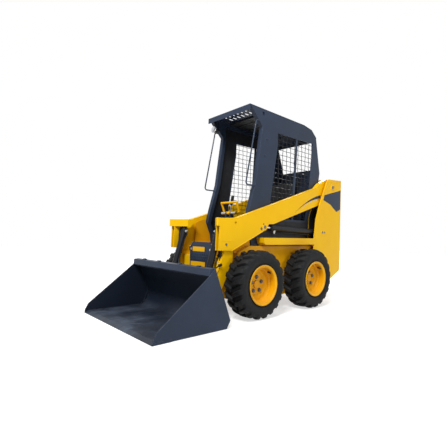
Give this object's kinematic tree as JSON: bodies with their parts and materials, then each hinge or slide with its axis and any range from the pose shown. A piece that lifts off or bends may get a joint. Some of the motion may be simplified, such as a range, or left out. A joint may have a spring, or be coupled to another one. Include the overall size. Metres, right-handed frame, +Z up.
{
  "type": "skid steer loader",
  "caption": "Compact wheeled skid steer loader with open-front mesh-sided cab, radial lift arms and a tilting earth bucket, all in working joints.",
  "frame": {"origin": "on the ground, midway between the sides and between bucket lip and rear face", "axes": "+X to the machine's left, -Y to its front, +Z up"},
  "size_m": [1.14, 2.556, 1.867],
  "materials": {
    "yellow_paint": "semi-gloss machine yellow",
    "bar_yellow": "gloss yellow tube",
    "dark_paint": "semi-gloss dark blue-grey",
    "black_paint": "satin black",
    "rod_chrome": "ground chrome",
    "edge_steel": "dull worn steel",
    "engine_iron": "cast",
    "tyre_rubber": "matt black rubber",
    "lamp_lens": "clear lens",
    "seat_vinyl": "black vinyl",
    "black_plastic": "matt black"
  },
  "bodies": {
    "machine": {"chassis_tub": "yellow_paint", "engine_block": "engine_iron", "fenders": "yellow_paint", "tower_left": "yellow_paint", "tower_right": "yellow_paint", "axle_housings": "black_paint", "tail_lamps": "lamp_lens", "cab_side_left": "dark_paint", "cab_side_right": "dark_paint", "screen_left": "black_paint", "screen_right": "black_paint", "cab_roof": "dark_paint", "cab_rear_panel": "dark_paint", "cab_bulkhead": "dark_paint", "work_lamps": "lamp_lens", "grab_rails": "dark_paint", "seat_base": "black_paint", "seat_cushion": "seat_vinyl", "seat_backrest": "seat_vinyl", "control_consoles": "black_plastic", "control_levers": "black_plastic", "lap_bar_post": "dark_paint", "engine_hood": "yellow_paint", "rear_bumper": "dark_paint", "exhaust_pipe": "edge_steel"},
    "lift_arm": {"lift_arm_left": "yellow_paint", "lift_arm_right": "yellow_paint", "cross_tube": "yellow_paint", "step_plate": "dark_paint"},
    "bucket": {"bucket_shell": "dark_paint", "cutting_edge": "edge_steel", "hitch_frame": "dark_paint", "latch_levers": "black_plastic"},
    "rear_door": {"rear_door": "yellow_paint"},
    "lap_bar": {"lap_bar": "bar_yellow"},
    "wheel_front_left": {"rim_front_left": "yellow_paint", "tyre_front_left": "tyre_rubber"},
    "wheel_front_right": {"rim_front_right": "yellow_paint", "tyre_front_right": "tyre_rubber"},
    "wheel_rear_left": {"rim_rear_left": "yellow_paint", "tyre_rear_left": "tyre_rubber"},
    "wheel_rear_right": {"rim_rear_right": "yellow_paint", "tyre_rear_right": "tyre_rubber"},
    "lift_barrel_left": {"lift_barrel_left": "black_paint"},
    "lift_rod_left": {"lift_rod_left": "rod_chrome"},
    "tilt_barrel_left": {"tilt_barrel_left": "black_paint"},
    "tilt_rod_left": {"tilt_rod_left": "rod_chrome"},
    "lift_barrel_right": {"lift_barrel_right": "black_paint"},
    "lift_rod_right": {"lift_rod_right": "rod_chrome"},
    "tilt_barrel_right": {"tilt_barrel_right": "black_paint"},
    "tilt_rod_right": {"tilt_rod_right": "rod_chrome"}
  },
  "joints": [
    {"name": "lift", "type": "hinge", "parent": "machine", "child": "lift_arm", "pos_m": [0, 1.091, 1.245], "axis": [-1, 0, 0], "range_deg": [0, 75]},
    {"name": "tilt", "type": "hinge", "parent": "lift_arm", "child": "bucket", "pos_m": [0, -0.599, 0.112], "axis": [1, 0, 0], "range_deg": [-20, 115]},
    {"name": "rear_door_swing", "type": "hinge", "parent": "machine", "child": "rear_door", "pos_m": [-0.261, 1.269, 0.78], "axis": [0, 0, 1], "range_deg": [0, 110]},
    {"name": "lap_bar_fold", "type": "hinge", "parent": "machine", "child": "lap_bar", "pos_m": [0, -0.124, 0.904], "axis": [1, 0, 0], "range_deg": [0, 75]},
    {"name": "wheel_front_left_roll", "type": "hinge", "parent": "machine", "child": "wheel_front_left", "pos_m": [0.457, -0.233, 0.286], "axis": [1, 0, 0], "continuous": true},
    {"name": "wheel_front_right_roll", "type": "hinge", "parent": "machine", "child": "wheel_front_right", "pos_m": [-0.457, -0.233, 0.286], "axis": [1, 0, 0], "continuous": true},
    {"name": "wheel_rear_left_roll", "type": "hinge", "parent": "machine", "child": "wheel_rear_left", "pos_m": [0.457, 0.525, 0.286], "axis": [1, 0, 0], "continuous": true},
    {"name": "wheel_rear_right_roll", "type": "hinge", "parent": "machine", "child": "wheel_rear_right", "pos_m": [-0.457, 0.525, 0.286], "axis": [1, 0, 0], "continuous": true},
    {"name": "lift_barrel_left_swing", "type": "hinge", "parent": "machine", "child": "lift_barrel_left", "pos_m": [0.323, 0.906, 0.742], "axis": [-1, 0, 0], "range_deg": [0, 67.5]},
    {"name": "lift_rod_left_slide", "type": "slide", "parent": "lift_barrel_left", "child": "lift_rod_left", "axis": [0, -0.9995, 0.0331], "range_m": [0, 0.633]},
    {"name": "tilt_barrel_left_swing", "type": "hinge", "parent": "lift_arm", "child": "tilt_barrel_left", "pos_m": [0.247, -0.45, 0.793], "axis": [-1, 0, 0], "range_deg": [-1, 5]},
    {"name": "tilt_rod_left_slide", "type": "slide", "parent": "tilt_barrel_left", "child": "tilt_rod_left", "axis": [0, -0.2963, -0.9551], "range_m": [-0.039, 0.215]},
    {"name": "lift_barrel_right_swing", "type": "hinge", "parent": "machine", "child": "lift_barrel_right", "pos_m": [-0.323, 0.906, 0.742], "axis": [-1, 0, 0], "range_deg": [0, 67.5]},
    {"name": "lift_rod_right_slide", "type": "slide", "parent": "lift_barrel_right", "child": "lift_rod_right", "axis": [0, -0.9995, 0.0331], "range_m": [0, 0.633]},
    {"name": "tilt_barrel_right_swing", "type": "hinge", "parent": "lift_arm", "child": "tilt_barrel_right", "pos_m": [-0.247, -0.45, 0.793], "axis": [-1, 0, 0], "range_deg": [-1, 5]},
    {"name": "tilt_rod_right_slide", "type": "slide", "parent": "tilt_barrel_right", "child": "tilt_rod_right", "axis": [0, -0.2963, -0.9551], "range_m": [-0.039, 0.215]}
  ],
  "couplings": [
    {"joint": "lift_barrel_left_swing", "follows": "lift", "ratio": 0.89303},
    {"joint": "lift_rod_left_slide", "follows": "lift", "m_per_rad": 0.48225},
    {"joint": "tilt_barrel_left_swing", "follows": "tilt", "ratio": 0.04},
    {"joint": "tilt_rod_left_slide", "follows": "tilt", "m_per_rad": 0.106},
    {"joint": "lift_barrel_right_swing", "follows": "lift", "ratio": 0.89303},
    {"joint": "lift_rod_right_slide", "follows": "lift", "m_per_rad": 0.48225},
    {"joint": "tilt_barrel_right_swing", "follows": "tilt", "ratio": 0.04},
    {"joint": "tilt_rod_right_slide", "follows": "tilt", "m_per_rad": 0.106}
  ]
}
